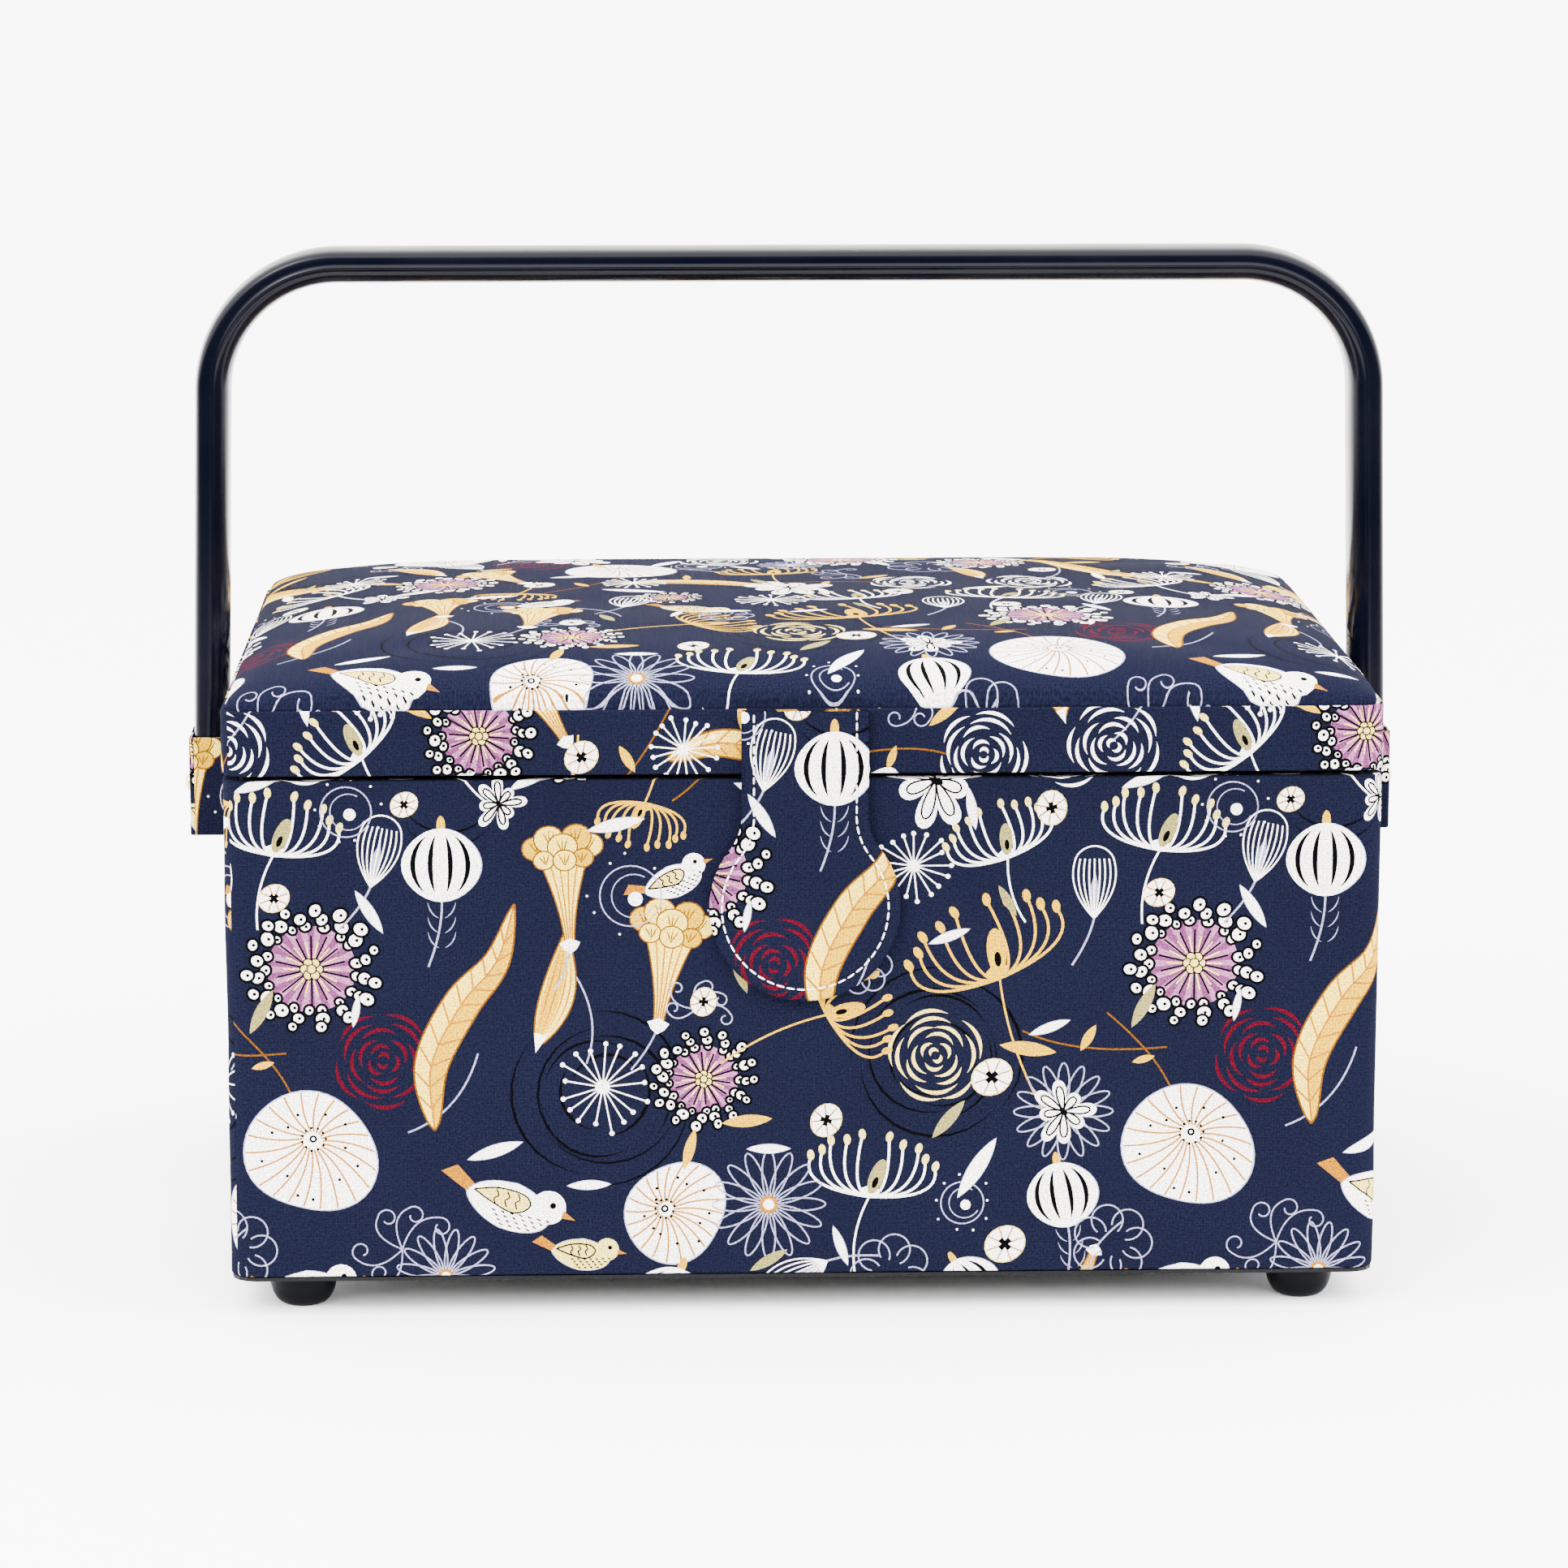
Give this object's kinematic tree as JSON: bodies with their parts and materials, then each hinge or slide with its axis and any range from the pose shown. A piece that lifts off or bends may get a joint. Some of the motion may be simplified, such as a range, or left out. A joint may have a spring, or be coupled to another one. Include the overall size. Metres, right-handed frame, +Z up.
{
  "type": "sewing box with trays",
  "caption": "Cloth-covered rectangular sewing box with a padded hinged lid, magnetic closing flap, swinging carrying handle, domed feet and lift-out trays.",
  "frame": {"origin": "on the floor, under the middle of the whole object's box", "axes": "+X along the box, to the right seen from the front; +Y to the back, with the flap on the -Y side; +Z up"},
  "size_m": [0.357, 0.2348, 0.288],
  "materials": {
    "printed_cloth": "dark navy cotton printed with flowers, leaves and birds in white, yellow, orange, pink and cream, plain weave, matte",
    "board": "dense grey board, matte",
    "dark_vinyl": "near-black grained vinyl sheet, semi-matte",
    "lining": "plain cream lining cloth, matte",
    "foam": "soft off-white foam",
    "elastic": "white woven elastic",
    "navy_plastic": "dark navy moulded plastic, glossy",
    "foot_plastic": "dark navy moulded plastic, satin",
    "tray_plastic": "off-white moulded plastic, semi-gloss",
    "brass": "bright brass-plated rivet, polished",
    "steel": "plain zinc-plated screw",
    "magnet": "nickel-plated magnet, satin",
    "cushion": "dark red cotton over wadding, matte"
  },
  "bodies": {
    "box": {"base_sheet": "dark_vinyl", "base_board": "board", "wall_front": "board", "wall_back": "board", "wall_left": "board", "wall_right": "board", "cover_wrap": "printed_cloth", "lining_wrap": "lining", "lining_floor": "lining", "tray_ledge_front": "lining", "tray_ledge_back": "lining", "body_magnet": "magnet", "hinge_cloth_lower": "printed_cloth", "foot_front_left": "foot_plastic", "foot_front_right": "foot_plastic", "foot_back_left": "foot_plastic", "foot_back_right": "foot_plastic", "foot_screw_front_left": "steel", "foot_screw_front_right": "steel", "foot_screw_back_left": "steel", "foot_screw_back_right": "steel", "rivet_washer_left": "brass", "rivet_washer_right": "brass", "rivet_spacer_left": "foot_plastic", "rivet_spacer_right": "foot_plastic"},
    "lid": {"lid_frame": "board", "lid_board": "board", "lid_foam": "foam", "lid_cover": "printed_cloth", "lid_band_cover": "printed_cloth", "lid_lining": "lining", "pin_cushion": "cushion", "lid_pocket": "lining", "pocket_elastic": "elastic", "hinge_cloth_upper": "printed_cloth"},
    "flap": {"flap_front_cloth": "printed_cloth", "flap_card": "board", "flap_back_cloth": "printed_cloth", "flap_magnet": "magnet"},
    "handle": {"handle_bar": "navy_plastic", "sleeve_left": "printed_cloth", "sleeve_right": "printed_cloth", "rivet_left": "brass", "rivet_right": "brass"},
    "tray_left": {"tray_left": "tray_plastic"},
    "tray_right": {"tray_right": "tray_plastic"}
  },
  "joints": [
    {"name": "lid_hinge", "type": "hinge", "parent": "box", "child": "lid", "pos_m": [0, 0.11685, 0.15245], "axis": [-1, 0, 0], "range_deg": [0, 100], "deforming": ["handle_bar"]},
    {"name": "handle_back", "type": "hinge", "parent": "box", "child": "handle", "pos_m": [0, 0.00125, 0.1304], "axis": [-1, 0, 0], "range_deg": [0, 111]},
    {"name": "flap_lift", "type": "hinge", "parent": "lid", "child": "flap", "pos_m": [0, -0.11445, 0.171], "axis": [-1, 0, 0], "range_deg": [0, 120]},
    {"name": "tray_left_lift", "type": "slide", "parent": "box", "child": "tray_left", "axis": [0, 0, 1], "range_m": [0, 0.088]},
    {"name": "tray_right_lift", "type": "slide", "parent": "box", "child": "tray_right", "axis": [0, 0, 1], "range_m": [0, 0.088]}
  ],
  "couplings": [
    {"joint": "handle_back", "follows": "lid_hinge", "ratio": 1.1},
    {"joint": "tray_left_lift", "follows": "lid_hinge", "m_per_rad": 0.05},
    {"joint": "tray_right_lift", "follows": "lid_hinge", "m_per_rad": 0.05}
  ]
}
